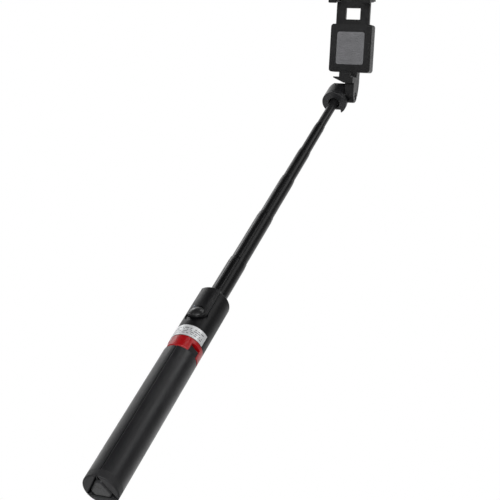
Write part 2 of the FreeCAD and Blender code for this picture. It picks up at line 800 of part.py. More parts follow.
def jaw_springs():
    """Room taken by the two stretched return springs, from the channel's floor to the slider."""
    coils = []
    for side in (-1, 1):
        spot = clip_middle + side * SPRING_SPREAD
        outer = cylinder(SPRING_RADIUS, SPRING_TOP - CHANNEL_FLOOR - 0.2,
                         (spot, ROD_DEPTH, CHANNEL_FLOOR + 0.1))
        inner = cylinder(SPRING_RADIUS - 0.6, 60, (spot, ROD_DEPTH, CHANNEL_FLOOR - 5))
        coils.append(cut(outer, inner))
    return tilted(group(*coils))


def upper_jaw():
    """A slider in the channel with two fingers over the phone's upper edge."""
    half_finger = dim("finger_width") / 2
    beam_bottom = phone_top + pad
    beam_top = beam_bottom + 3.8
    slider = along_clip((-CHANNEL_HALF + 0.3, SLIDER_FRONT, SLIDER_BOTTOM),
                        (CHANNEL_HALF - 0.3, SLIDER_REAR, beam_top))
    window = along_clip((-8, SLIDER_FRONT - 1, back_top + 5), (8, SLIDER_REAR + 1, phone_top - 6))
    pieces = [cut(slider, window)]
    for side in (-1, 1):
        middle = side * dim("finger_spacing") / 2
        reach = along_clip((middle - half_finger, lip_front, beam_bottom),
                           (middle + half_finger, SLIDER_REAR, beam_top))
        nail = along_clip((middle - half_finger, lip_front, phone_top - 2.2),
                          (middle + half_finger, lip_back, beam_top))
        pieces.append(reach)
        pieces.append(rounded(nail, 0.9, lambda edge: edge.BoundBox.ZMax < phone_top.value - 2.1))
    ways = []
    for side in (-1, 1):
        spot = clip_middle + side * ROD_SPREAD
        ways.append(cylinder(as_size(ROD_RADIUS) + running_gap, 45, (spot, ROD_DEPTH, SLIDER_BOTTOM - 1)))
        middle = side * SPRING_SPREAD
        slot_half = SPRING_RADIUS + 0.4
        ways.append(along_clip((middle - slot_half, SLIDER_FRONT - 1, SLIDER_BOTTOM - 1),
                               (middle + slot_half, SLIDER_REAR + 1, SPRING_TOP)))
    return tilted(cut(fuse(*pieces), *ways))


def finger_pads():
    pads = []
    half_finger = dim("finger_width") / 2 - 0.3
    for side in (-1, 1):
        middle = side * dim("finger_spacing") / 2
        pads.append(along_clip((middle - half_finger, phone_front, phone_top),
                               (middle + half_finger, 2.6, phone_top + pad)))
    return tilted(group(*pads))


keep("clip_frame", clip_frame())
keep("clip_cover", clip_cover())
keep("cover_screws", tilted(group(*cover_screw_shapes())))
keep("lower_jaw_pad", lower_jaw_pad())
keep("back_pad", back_pad())
keep("guide_rods", guide_rods())
keep("jaw_springs", jaw_springs())
keep("upper_jaw", upper_jaw())
keep("finger_pads", finger_pads())


# ---------------------------------------------------------------------------------------------
# Test every object, then write one file for each sub-part.
# ---------------------------------------------------------------------------------------------
doc.recompute()
for obj in doc.Objects:
    if "Invalid" in obj.State or "Error" in obj.State:
        raise RuntimeError(f"{obj.Name} ({obj.Label}) failed: {obj.State}")
for label, obj in nodes.items():
    if obj.Shape.isNull() or not obj.Shape.isValid() or not obj.Shape.Solids:
        raise RuntimeError(f"{label} has no valid solid")

os.makedirs("parts", exist_ok=True)
for label, obj in nodes.items():
    obj.Shape.exportStep(f"parts/{label}.step")
print(f"{len(nodes)} sub-parts written")
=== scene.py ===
import json
import math

import bmesh
import bpy
from mathutils import Matrix, Vector

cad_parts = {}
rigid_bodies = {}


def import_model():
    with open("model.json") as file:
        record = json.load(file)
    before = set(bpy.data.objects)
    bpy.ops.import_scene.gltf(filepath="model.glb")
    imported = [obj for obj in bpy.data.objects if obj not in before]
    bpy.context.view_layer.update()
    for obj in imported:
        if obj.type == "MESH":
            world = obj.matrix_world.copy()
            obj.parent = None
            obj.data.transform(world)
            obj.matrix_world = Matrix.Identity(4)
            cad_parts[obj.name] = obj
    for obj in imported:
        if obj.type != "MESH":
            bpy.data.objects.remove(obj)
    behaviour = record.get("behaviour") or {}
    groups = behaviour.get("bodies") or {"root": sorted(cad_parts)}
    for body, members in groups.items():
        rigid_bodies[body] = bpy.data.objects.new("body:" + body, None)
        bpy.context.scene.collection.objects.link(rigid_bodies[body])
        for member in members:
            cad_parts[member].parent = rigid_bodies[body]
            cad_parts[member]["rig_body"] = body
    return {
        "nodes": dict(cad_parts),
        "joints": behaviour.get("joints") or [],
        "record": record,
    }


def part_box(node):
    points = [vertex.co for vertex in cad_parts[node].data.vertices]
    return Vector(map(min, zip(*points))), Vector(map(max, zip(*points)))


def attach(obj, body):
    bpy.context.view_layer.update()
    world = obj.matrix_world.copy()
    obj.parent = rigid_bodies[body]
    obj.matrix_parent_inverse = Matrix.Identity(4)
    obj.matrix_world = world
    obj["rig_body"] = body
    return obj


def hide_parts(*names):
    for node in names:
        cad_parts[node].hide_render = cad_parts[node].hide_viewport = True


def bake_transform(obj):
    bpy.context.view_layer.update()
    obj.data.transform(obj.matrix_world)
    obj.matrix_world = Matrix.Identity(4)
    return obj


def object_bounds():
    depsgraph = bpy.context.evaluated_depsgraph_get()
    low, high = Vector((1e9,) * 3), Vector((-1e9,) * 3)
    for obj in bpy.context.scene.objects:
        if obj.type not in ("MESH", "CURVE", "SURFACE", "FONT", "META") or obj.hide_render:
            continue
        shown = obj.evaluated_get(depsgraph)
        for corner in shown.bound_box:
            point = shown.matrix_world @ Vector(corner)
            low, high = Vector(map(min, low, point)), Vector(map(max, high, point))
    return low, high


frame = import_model()
cad_low, cad_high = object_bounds()
centre = (cad_low + cad_high) / 2

# A phone stick with a tripod handle, dressed with moulded edges, screws, ribs and springs.
# Lengths are in metres; MM turns the small ones into millimetres.
MM = 0.001
TAU = 2 * math.pi

# ---------------------------------------------------------------------------------------------
# Camera, floor and light.
# ---------------------------------------------------------------------------------------------
CAMERA_PLACE = Vector((0.4113, -0.6317, -0.5101))
CAMERA_AZIMUTH = math.radians(32.8)      # round the stick, from straight in front of its button
CAMERA_ELEVATION = math.radians(-47.0)   # the handle's end faces the camera
CAMERA_ROLL = math.radians(30.9)
CAMERA_LENS = 88.92
FLOOR_DROP = 1.0                         # the stick is held this far above the floor
FLOOR_HALF = 30.0


def make_camera():
    data = bpy.data.cameras.new("camera")
    data.lens = CAMERA_LENS
    data.sensor_width = 36.0
    data.clip_start = 0.01
    camera = bpy.data.objects.new("camera", data)
    bpy.context.scene.collection.objects.link(camera)
    flat = math.cos(CAMERA_ELEVATION)
    back = Vector((math.sin(CAMERA_AZIMUTH) * flat, -math.cos(CAMERA_AZIMUTH) * flat,
                   math.sin(CAMERA_ELEVATION)))
    facing = (-back).to_track_quat("-Z", "Y").to_matrix().to_4x4()
    roll = Matrix.Rotation(CAMERA_ROLL, 4, "Z")
    camera.matrix_world = Matrix.Translation(CAMERA_PLACE) @ facing @ roll
    bpy.context.scene.camera = camera


def area_light(name, azimuth, elevation, distance, width, height, energy):
    """A soft panel that faces the middle of the object; angles in degrees, azimuth from the
    stick's front towards +X."""
    data = bpy.data.lights.new(name, "AREA")
    data.shape = "RECTANGLE"
    data.size = width
    data.size_y = height
    data.energy = energy
    panel = bpy.data.objects.new(name, data)
    bpy.context.scene.collection.objects.link(panel)
    turn = math.radians(azimuth)
    rise = math.radians(elevation)
    away = Vector((math.sin(turn) * math.cos(rise), -math.cos(turn) * math.cos(rise),
                   math.sin(rise)))
    panel.matrix_world = (Matrix.Translation(centre + away * distance)
                          @ away.to_track_quat("Z", "Y").to_matrix().to_4x4())
    panel.visible_camera = False
    return panel


def make_world():
    """White to the eye; as a light it is brighter from behind and above than from the front."""
    world = bpy.data.worlds.new("studio")
    bpy.context.scene.world = world
    world.use_nodes = True
    tree = world.node_tree
    tree.nodes.clear()
    output = tree.nodes.new("ShaderNodeOutputWorld")
    mix = tree.nodes.new("ShaderNodeMixShader")
    path = tree.nodes.new("ShaderNodeLightPath")
    seen = tree.nodes.new("ShaderNodeBackground")
    seen.inputs["Color"].default_value = (1, 1, 1, 1)
    seen.inputs["Strength"].default_value = 1.0
    light = tree.nodes.new("ShaderNodeBackground")
    coordinates = tree.nodes.new("ShaderNodeTexCoord")
    turned = tree.nodes.new("ShaderNodeVectorMath")
    turned.operation = "DOT_PRODUCT"
    turned.inputs[1].default_value = Vector((-0.15, 0.75, 0.35)).normalized()
    ramp = tree.nodes.new("ShaderNodeMapRange")
    ramp.inputs["From Min"].default_value = -0.35
    ramp.inputs["From Max"].default_value = 1.0
    ramp.inputs["To Min"].default_value = 0.07
    ramp.inputs["To Max"].default_value = 0.6
    ramp.interpolation_type = "SMOOTHSTEP"
    tree.links.new(coordinates.outputs["Generated"], turned.inputs[0])
    tree.links.new(turned.outputs["Value"], ramp.inputs["Value"])
    tree.links.new(ramp.outputs["Result"], light.inputs["Strength"])
    tree.links.new(path.outputs["Is Camera Ray"], mix.inputs["Fac"])
    tree.links.new(light.outputs["Background"], mix.inputs[1])
    tree.links.new(seen.outputs["Background"], mix.inputs[2])
    tree.links.new(mix.outputs["Shader"], output.inputs["Surface"])


def make_floor():
    """A pale floor far enough below the held stick to stay under the camera."""
    level = cad_low.z - FLOOR_DROP
    mesh = bpy.data.meshes.new("floor")
    corners = [(-FLOOR_HALF, -FLOOR_HALF, level), (FLOOR_HALF, -FLOOR_HALF, level),
               (FLOOR_HALF, FLOOR_HALF, level), (-FLOOR_HALF, FLOOR_HALF, level)]
    mesh.from_pydata(corners, [], [(0, 1, 2, 3)])
    floor = bpy.data.objects.new("floor", mesh)
    bpy.context.scene.collection.objects.link(floor)
    paint, shader, _ = new_material("pale_floor", (0.93, 0.93, 0.93), 0.7)
    shader.inputs["Specular IOR Level"].default_value = 0.2
    mesh.materials.append(paint)


# ---------------------------------------------------------------------------------------------
# Materials.
# ---------------------------------------------------------------------------------------------
def new_material(name, colour, roughness, metallic=0.0):
    """(material, its shader node, a position socket in metres)."""
    material = bpy.data.materials.new(name)
    material.use_nodes = True
    shader = material.node_tree.nodes["Principled BSDF"]
    shader.inputs["Base Color"].default_value = (*colour, 1)
    shader.inputs["Roughness"].default_value = roughness
    shader.inputs["Metallic"].default_value = metallic
    place = material.node_tree.nodes.new("ShaderNodeTexCoord").outputs["Object"]
    return material, shader, place


def scaled(tree, place, scale):
    """Place stretched by a factor for each axis."""
    node = tree.nodes.new("ShaderNodeMapping")
    node.inputs["Scale"].default_value = scale
    tree.links.new(place, node.inputs["Vector"])
    return node.outputs["Vector"]


def noise(tree, place, scale, detail=3.0, roughness=0.5):
    """A noise value from 0 to 1."""
    node = tree.nodes.new("ShaderNodeTexNoise")
    node.inputs["Scale"].default_value = scale
    node.inputs["Detail"].default_value = detail
    node.inputs["Roughness"].default_value = roughness
    tree.links.new(place, node.inputs["Vector"])
    return node.outputs["Fac"]


def ramped(tree, value, low, high, start=0.3, end=0.7):
    """Value carried from start..end to low..high."""
    node = tree.nodes.new("ShaderNodeMapRange")
    node.inputs["From Min"].default_value = start
    node.inputs["From Max"].default_value = end
    node.inputs["To Min"].default_value = low
    node.inputs["To Max"].default_value = high
    tree.links.new(value, node.inputs["Value"])
    return node.outputs["Result"]


def blended(tree, share, first, second):
    """A colour between two, each a colour or a socket."""
    node = tree.nodes.new("ShaderNodeMix")
    node.data_type = "RGBA"
    colours = [s for s in node.inputs if s.type == "RGBA"]
    for socket, colour in zip(colours, (first, second)):
        if isinstance(colour, tuple):
            socket.default_value = (*colour, 1)
        else:
            tree.links.new(colour, socket)
    tree.links.new(share, node.inputs[0])
    return next(s for s in node.outputs if s.type == "RGBA")


def bumped(tree, shader, height, distance):
    """Gives the shader's surface a relief of up to distance metres."""
    node = tree.nodes.new("ShaderNodeBump")
    node.inputs["Strength"].default_value = 1.0
    node.inputs["Distance"].default_value = distance
    tree.links.new(height, node.inputs["Height"])
    tree.links.new(node.outputs["Normal"], shader.inputs["Normal"])


def worn_edges(tree, amount):
    """High on sharp convex edges, from the surface's own curvature."""
    geometry = tree.nodes.new("ShaderNodeNewGeometry")
    return ramped(tree, geometry.outputs["Pointiness"], 0.0, amount, 0.53, 0.62)


def moulded(name, colour, roughness, grain=0.00016, grain_size=2600, sheen_spread=0.07,
            edge_light=1.5, specular=0.5, coat=0.0, coat_roughness=0.12, ior=1.5):
    """Moulded plastic: fine spark grain, slow gloss changes, slightly paler rubbed edges."""
    material, shader, place = new_material(name, colour, roughness)
    tree = material.node_tree
    cloud = noise(tree, place, 55, 4)
    speck = noise(tree, place, 900, 3)
    grainy = noise(tree, place, grain_size, 2)
    paler = tuple(min(1.0, part * 1.3 + 0.0008) for part in colour)
    rubbed = tuple(min(1.0, part * edge_light + 0.008) for part in colour)
    body = blended(tree, ramped(tree, cloud, 0.0, 0.75), colour, paler)
    body = blended(tree, ramped(tree, speck, 0.0, 0.25, 0.55, 0.75), body, paler)
    body = blended(tree, worn_edges(tree, 0.55), body, rubbed)
    tree.links.new(body, shader.inputs["Base Color"])
    tree.links.new(ramped(tree, cloud, roughness - sheen_spread, roughness + sheen_spread),
                   shader.inputs["Roughness"])
    shader.inputs["Specular IOR Level"].default_value = specular
    shader.inputs["IOR"].default_value = ior
    shader.inputs["Coat Weight"].default_value = coat
    shader.inputs["Coat Roughness"].default_value = coat_roughness
    bumped(tree, shader, grainy, grain)
    return material


def rubber(name, colour, roughness=0.75):
    """Matte elastomer with a dusty bloom."""
    material, shader, place = new_material(name, colour, roughness)
    tree = material.node_tree
    dust = noise(tree, place, 140, 5, 0.65)
    pores = noise(tree, place, 3800, 2)
    bloom = tuple(part * 1.5 + 0.005 for part in colour)
    tree.links.new(blended(tree, ramped(tree, dust, 0.0, 0.6), colour, bloom),
                   shader.inputs["Base Color"])
    tree.links.new(ramped(tree, dust, roughness - 0.08, roughness + 0.08),
                   shader.inputs["Roughness"])
    shader.inputs["Specular IOR Level"].default_value = 0.35
    bumped(tree, shader, pores, 0.00009)
    return material


def painted_tube(name):
    """Gloss black lacquer over a drawn tube: faint lengthwise die lines and rubbing marks."""
    colour = (0.0022, 0.0022, 0.0025)
    material, shader, place = new_material(name, colour, 0.2)
    tree = material.node_tree
    drawn = noise(tree, scaled(tree, place, (2600, 2600, 14)), 1.0, 3)
    rings = noise(tree, scaled(tree, place, (40, 40, 900)), 1.0, 2)
    cloud = noise(tree, place, 70, 4)
    body = blended(tree, ramped(tree, drawn, 0.0, 0.55, 0.5, 0.8), colour, (0.0045, 0.0045, 0.005))
    body = blended(tree, worn_edges(tree, 0.3), body, (0.05, 0.05, 0.053))
    tree.links.new(body, shader.inputs["Base Color"])
    gloss = blended(tree, ramped(tree, rings, 0.0, 0.5, 0.55, 0.8),
                    ramped(tree, cloud, 0.22, 0.32), (0.45, 0.45, 0.45))
    tree.links.new(gloss, shader.inputs["Roughness"])
    shader.inputs["Specular IOR Level"].default_value = 0.12
    shader.inputs["Coat Weight"].default_value = 0.04
    shader.inputs["Coat Roughness"].default_value = 0.08
    bumped(tree, shader, drawn, 0.000012)
    return material


def metal(name, colour, roughness):
    """Bright steel with brush lines and slightly dulled patches."""
    streak = 0.1
    material, shader, place = new_material(name, colour, roughness, 1.0)
    tree = material.node_tree
    lines = noise(tree, scaled(tree, place, (300, 300, 6000)), 1.0, 3)
    cloud = noise(tree, place, 260, 4)
    dull = tuple(part * 0.72 for part in colour)
    tree.links.new(blended(tree, ramped(tree, cloud, 0.0, 0.8), colour, dull),
                   shader.inputs["Base Color"])
    tree.links.new(ramped(tree, lines, roughness - streak, roughness + streak),
                   shader.inputs["Roughness"])
    bumped(tree, shader, lines, 0.00001)
    return material


def label_film(name):
    """Silver label with rows of small grey marks, which say nothing."""
    material, shader, place = new_material(name, (0.66, 0.67, 0.68), 0.34)
    tree = material.node_tree
    low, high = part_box("label_band")
    split = tree.nodes.new("ShaderNodeSeparateXYZ")
    tree.links.new(place, split.inputs["Vector"])

    def maths(operation, first, second=None):
        node = tree.nodes.new("ShaderNodeMath")
        node.operation = operation
        for socket, value in zip(node.inputs, (first, second)):
            if value is None:
                continue
            if isinstance(value, (int, float)):
                socket.default_value = value
            else:
                tree.links.new(value, socket)
        return node.outputs["Value"]

    radius = -low.y
    bottom = low.z + 1.6 * MM          # the inked part of the label
    top = high.z - 1.8 * MM
    first = -12.5 * MM                 # along the label, from its middle
    last = 16.5 * MM
    around = maths("MULTIPLY", maths("ARCTAN2", split.outputs["X"],
                                     maths("MULTIPLY", split.outputs["Y"], -1.0)), radius)
    row_height = 2.05 * MM
    rows = maths("DIVIDE", maths("SUBTRACT", split.outputs["Z"], bottom), row_height)
    row = maths("FLOOR", rows)
    in_row = maths("FRACT", rows)
    inked_row = maths("MULTIPLY", maths("GREATER_THAN", in_row, 0.3),
                      maths("LESS_THAN", in_row, 0.72))
    inside = maths("MULTIPLY", maths("GREATER_THAN", split.outputs["Z"], bottom),
                   maths("LESS_THAN", split.outputs["Z"], top))
    reach = maths("MULTIPLY", maths("GREATER_THAN", around, first),
                  maths("LESS_THAN", around, last))
    spot = tree.nodes.new("ShaderNodeCombineXYZ")
    tree.links.new(maths("MULTIPLY", around, 560.0), spot.inputs["X"])
    tree.links.new(maths("MULTIPLY", row, 7.3), spot.inputs["Y"])
    dashes = maths("GREATER_THAN", noise(tree, spot.outputs["Vector"], 1.0, 0), 0.47)
    ink = maths("MULTIPLY", maths("MULTIPLY", inked_row, inside), maths("MULTIPLY", reach, dashes))
    foil = noise(tree, scaled(tree, place, (300, 300, 1500)), 1.0, 3)
    body = blended(tree, ramped(tree, foil, 0.0, 1.0), (0.68, 0.69, 0.70), (0.82, 0.83, 0.835))
    body = blended(tree, maths("MULTIPLY", ink, 0.9), body, (0.10, 0.105, 0.12))
    tree.links.new(body, shader.inputs["Base Color"])
    tree.links.new(ramped(tree, foil, 0.26, 0.42), shader.inputs["Roughness"])
    shader.inputs["Metallic"].default_value = 0.25
    bumped(tree, shader, foil, 0.00002)
    return material


def circuit_board(name):
    """Green solder mask with a pattern of tracks."""
    material, shader, place = new_material(name, (0.02, 0.13, 0.05), 0.35)
    tree = material.node_tree
    tracks = tree.nodes.new("ShaderNodeTexBrick")
    tracks.inputs["Scale"].default_value = 420
    tracks.inputs["Color1"].default_value = (0.015, 0.11, 0.04, 1)
    tracks.inputs["Color2"].default_value = (0.02, 0.15, 0.055, 1)
    tracks.inputs["Mortar"].default_value = (0.05, 0.26, 0.1, 1)
    tree.links.new(scaled(tree, place, (1, 0, 1)), tracks.inputs["Vector"])
    tree.links.new(tracks.outputs["Color"], shader.inputs["Base Color"])
    bumped(tree, shader, noise(tree, place, 2200, 2), 0.00003)
    return material


def clear_lens(name):
    """Slightly hazy clear plastic."""
    material, shader, place = new_material(name, (0.75, 0.82, 0.95), 0.08)
    tree = material.node_tree
    haze = noise(tree, place, 1500, 2)
    tree.links.new(blended(tree, ramped(tree, haze, 0.0, 1.0), (0.68, 0.76, 0.92), (0.85, 0.9, 1.0)),
                   shader.inputs["Base Color"])
    shader.inputs["Transmission Weight"].default_value = 0.55
    shader.inputs["IOR"].default_value = 1.48
    tree.links.new(ramped(tree, haze, 0.05, 0.15), shader.inputs["Roughness"])
    return material


paints = {
    "leg_plastic": moulded("leg_plastic", (0.0095, 0.0096, 0.0107), 0.36, grain=0.00006,
                           specular=0.45),
    "foot_rubber": rubber("foot_rubber", (0.015, 0.015, 0.016), 0.5),
    "core_plastic": moulded("core_plastic", (0.0095, 0.0095, 0.0105), 0.25),
    "hub_red": moulded("hub_red", (0.37, 0.003, 0.006), 0.3, grain=0.00004, sheen_spread=0.05,
                       edge_light=1.2, specular=0.3, coat=0.1),
    "collar_plastic": moulded("collar_plastic", (0.003, 0.003, 0.0036), 0.42, grain=0.00003,
                              specular=0.2),
    "label_film": label_film("label_film"),
    "tube_metal": painted_tube("tube_metal"),
    "bush_nylon": moulded("bush_nylon", (0.62, 0.60, 0.55), 0.5, edge_light=1.1),
    "steel": metal("steel", (0.56, 0.56, 0.57), 0.3),
    "black_steel": metal("black_steel", (0.045, 0.045, 0.048), 0.34),
    "remote_plastic": moulded("remote_plastic", (0.003, 0.003, 0.0036), 0.4, grain=0.00003,
                              specular=0.32),
    "button_plastic": moulded("button_plastic", (0.005, 0.005, 0.0055), 0.34, grain=0.00001,
                              specular=0.6, coat=0.3, coat_roughness=0.25, ior=1.55),
    "board_green": circuit_board("board_green"),
    "light_lens": clear_lens("light_lens"),
    "head_plastic": moulded("head_plastic", (0.0105, 0.0105, 0.0118), 0.42),
    "clip_plastic": moulded("clip_plastic", (0.0022, 0.0022, 0.0026), 0.36, specular=0.3),
    "pad_rubber": rubber("pad_rubber", (0.15, 0.15, 0.157), 0.6),
}
slot_of = {part["node"]: part["material_slot"] for part in frame["record"]["subparts"]}
for node, obj in frame["nodes"].items():
    obj.data.materials.clear()
    obj.data.materials.append(paints[slot_of[node]])


# ---------------------------------------------------------------------------------------------
# Mesh tools.
# ---------------------------------------------------------------------------------------------
hinge = next(j for j in frame["joints"] if j["name"] == "clip_tilt")
slide = next(j for j in frame["joints"] if j["name"] == "jaw_slide")
clip_lean = math.atan2(-slide["axis"][1], slide["axis"][2])
CLIP = Matrix.Translation(hinge["pos_m"]) @ Matrix.Rotation(clip_lean, 4, "X")


def body_of_node(node):
    """The moving body that carries a CAD node."""
    return frame["nodes"][node]["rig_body"]


def new_piece(name, bm, slot, body=None, transform=None, sharp=38):
    """Turns bm into a finished piece that rides on a body."""
    if transform is not None:
        bmesh.ops.transform(bm, matrix=transform, verts=bm.verts)
    bmesh.ops.recalc_face_normals(bm, faces=bm.faces)
    mesh = bpy.data.meshes.new(name)
    bm.to_mesh(mesh)
    bm.free()
    mesh.polygons.foreach_set("use_smooth", [True] * len(mesh.polygons))
    mesh.set_sharp_from_angle(angle=math.radians(sharp))
    mesh.materials.append(paints[slot])
    piece = bpy.data.objects.new(name, mesh)
    bpy.context.scene.collection.objects.link(piece)
    if body is not None:
        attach(piece, body)
    return piece


def apply_modifiers(piece):
    """Replaces the piece's mesh by the one its modifiers make."""
    graph = bpy.context.evaluated_depsgraph_get()
    mesh = bpy.data.meshes.new_from_object(piece.evaluated_get(graph))
    piece.modifiers.clear()
    piece.data = mesh
    return piece


def bevelled(piece, width, segments=2, angle=32):
    """Rounds the piece's real edges and evens the shading of its flats."""
    rounding = piece.modifiers.new("rounding", "BEVEL")
    rounding.width = width
    rounding.segments = segments
    rounding.limit_method = "ANGLE"
    rounding.angle_limit = math.radians(angle)
    rounding.harden_normals = False
    rounding.miter_outer = "MITER_ARC"
    evening = piece.modifiers.new("evening", "WEIGHTED_NORMAL")
    evening.keep_sharp = True
    return piece


def softened(node, width, segments=2, angle=32):
    """The CAD node's own shape with its edges rounded, in place of the node."""
    bm = bmesh.new()
    bm.from_mesh(frame["nodes"][node].data)
    bmesh.ops.remove_doubles(bm, verts=bm.verts, dist=1e-6)
    bmesh.ops.dissolve_limit(bm, angle_limit=math.radians(0.6), verts=bm.verts, edges=bm.edges)
    piece = new_piece(f"{node}_moulded", bm, slot_of[node], body_of_node(node))
    bevelled(piece, width, segments, angle)
    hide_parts(node)
    return piece


def lathe(profile, segments):
    """A closed turned shape about Z from (radius, height) points, first and last on the axis
    or joined to each other."""
    bm = bmesh.new()
    rings = []
    for step in range(segments):
        angle = TAU * step / segments
        rings.append([bm.verts.new((r * math.cos(angle), r * math.sin(angle), z))
                      for r, z in profile])
    for step, ring in enumerate(rings):
        following = rings[(step + 1) % segments]
        for k in range(len(profile) - 1):
            bm.faces.new((ring[k], following[k], following[k + 1], ring[k + 1]))
        if profile[0] != profile[-1] and profile[0][0] > 0:
            bm.faces.new((ring[-1], following[-1], following[0], ring[0]))
    bmesh.ops.remove_doubles(bm, verts=bm.verts, dist=1e-7)
    return bm


def add_block(bm, low, high, transform=None):
    """Adds a box to bm."""
    made = bmesh.ops.create_cube(bm, size=1.0)
    size = Vector(high) - Vector(low)
    middle = (Vector(high) + Vector(low)) / 2
    matrix = Matrix.Translation(middle) @ Matrix.Diagonal((*size, 1))
    if transform is not None:
        matrix = transform @ matrix
    bmesh.ops.transform(bm, matrix=matrix, verts=made["verts"])


def clip_box(node):
    """Box of a clip node in the clip's own upright frame."""
    inverse = CLIP.inverted()
    points = [inverse @ v.co for v in frame["nodes"][node].data.vertices]
    low = Vector(tuple(min(p[k] for p in points) for k in range(3)))
    high = Vector(tuple(max(p[k] for p in points) for k in range(3)))
    return low, high


def cut_by(piece, tool_bm):
    """Cuts the closed shape tool_bm out of piece."""
    mesh = bpy.data.meshes.new("cutter")
    tool_bm.to_mesh(mesh)
    tool_bm.free()
    cutter = bpy.data.objects.new("cutter", mesh)
    bpy.context.scene.collection.objects.link(cutter)
    cutting = piece.modifiers.new("cutting", "BOOLEAN")
    cutting.operation = "DIFFERENCE"
    cutting.solver = "EXACT"
    cutting.object = cutter
    bpy.context.view_layer.update()
    apply_modifiers(piece)
    bpy.data.objects.remove(cutter)
    return piece


# ---------------------------------------------------------------------------------------------
# Pieces.
# ---------------------------------------------------------------------------------------------
def islands(node, transform=Matrix.Identity(4)):
    """(low, high) of each separate solid of a CAD node, in the frame of transform."""
    bm = bmesh.new()
    bm.from_mesh(frame["nodes"][node].data)
    bmesh.ops.remove_doubles(bm, verts=bm.verts, dist=1e-6)
    bmesh.ops.transform(bm, matrix=transform.inverted(), verts=bm.verts)
    left = set(bm.verts)
    found = []
    while left:
        start = left.pop()
        solid = [start]
        for vert in solid:
            for edge in vert.link_edges:
                other = edge.other_vert(vert)
                if other in left:
                    left.remove(other)
                    solid.append(other)
        points = [v.co.copy() for v in solid]
        found.append((Vector([min(p[k] for p in points) for k in range(3)]),
                      Vector([max(p[k] for p in points) for k in range(3)])))
    bm.free()
    return sorted(found, key=lambda pair: tuple(round(c, 5) for c in pair[0]))


def join(target, source, transform):
    """Adds source to target after moving it, and frees source."""
    bmesh.ops.transform(source, matrix=transform, verts=source.verts)
    mesh = bpy.data.meshes.new("part")
    source.to_mesh(mesh)
    source.free()
    target.from_mesh(mesh)
    bpy.data.meshes.remove(mesh)


def soften_mouldings():
    """Every visible moulding keeps its CAD shape and gets rounded edges."""
    widths = {
        "hub": 0.22, "collar_housing": 0.3, "remote_shell": 0.18, "remote_base": 0.15,
        "head_block": 0.5, "clip_frame": 0.5, "clip_cover": 0.35, "upper_jaw": 0.5,
        "core_cap": 0.3, "lower_jaw_pad": 0.3, "back_pad": 0.25, "finger_pads": 0.35,
        "tilt_nut": 0.25,
    }
    for number in (1, 2, 3):
        widths[f"leg_shell_{number}"] = 0.3
        widths[f"foot_{number}"] = 0.1
    for node, width in widths.items():
        softened(node, width * MM)


def screw_shape(head_radius, head_height, shank_radius, shank_length, dome):
    """A screw along +Z with the top of its head at the origin; dome is the rounded share of
    the head's height."""
    under = -head_height
    shoulder = -head_height * dome
    profile = [(0, under - shank_length), (shank_radius * 0.8, under - shank_length),
               (shank_radius, under - shank_length + shank_radius * 0.3), (shank_radius, under),
               (head_radius, under), (head_radius, shoulder)]
    for step in range(1, 6):
        angle = math.radians(90 * step / 5)
        profile.append((head_radius * (1 - 0.3 * (1 - math.cos(angle))) if step < 5 else 0,
                        shoulder * (1 - math.sin(angle))))
    return lathe(profile, 32)


def cross_recess(radius, depth):
    """Cutter for a cross-shaped driver recess."""
    arm = radius * 0.62
    half = radius * 0.13
    outline = [(arm, half), (half, half), (half, arm), (-half, arm), (-half, half), (-arm, half),
               (-arm, -half), (-half, -half), (-half, -arm), (half, -arm), (half, -half),
               (arm, -half)]
    bm = bmesh.new()
    floor, roof = [[bm.verts.new((x, y, z)) for x, y in outline] for z in (-depth, depth)]
    bm.faces.new(list(reversed(floor)))
    bm.faces.new(roof)
    for k in range(len(outline)):
        following = (k + 1) % len(outline)
        bm.faces.new((floor[k], floor[following], roof[following], roof[k]))
    return bm


def socket_recess(across, depth):
    """Cutter for a hexagonal driver recess."""
    bm = bmesh.new()
    bmesh.ops.create_cone(bm, segments=6, radius1=across * 0.577, radius2=across * 0.577,
                          depth=2 * depth, cap_ends=True)
    return bm


def dressed_screws(node, places, sizes, recess):
    """Screws with driver recesses in place of a CAD node's plain ones."""
    bodies = bmesh.new()
    recesses = bmesh.new()
    for place in places:
        join(bodies, screw_shape(*sizes), place)
        join(recesses, recess(), place)
    piece = new_piece(f"{node}_driven", bodies, slot_of[node], body_of_node(node))
    cut_by(piece, recesses)
    bevelled(piece, 0.06 * MM, 2, 30)
    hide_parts(node)


def make_cover_screws():
    """Four screws in the clip's back cover."""
    head_height = 0.8 * MM
    places = []
    for low, high in islands("cover_screws", CLIP):
        middle = (low + high) / 2
        top = Matrix.Translation((middle.x, high.y, middle.z))
        places.append(CLIP @ top @ Matrix.Rotation(-math.pi / 2, 4, "X"))
    low, high = islands("cover_screws", CLIP)[0]
    radius = (high.x - low.x) / 2
    dressed_screws("cover_screws", places,
                   (radius, head_height, 0.8 * MM, high.y - low.y - head_height, 0.45),
                   lambda: cross_recess(radius, 0.5 * MM))


def make_hub_screws():
    """Small screws that hold the collar on the hub."""
    reach = 14.3 * MM                  # top of a screw's head, from the stick's axis
    radius = 1.8 * MM
    places = []
    for low, high in islands("hub_screws"):
        middle = (low + high) / 2
        turn = math.atan2(middle.y, middle.x)
        outward = Matrix.Rotation(turn, 4, "Z") @ Matrix.Rotation(math.pi / 2, 4, "Y")
        top = Vector((math.cos(turn), math.sin(turn), 0)) * reach + Vector((0, 0, middle.z))
        places.append(Matrix.Translation(top) @ outward)
    dressed_screws("hub_screws", places, (radius, 1.1 * MM, 1.0 * MM, 3.4 * MM, 0.5),
                   lambda: cross_recess(radius, 0.6 * MM))


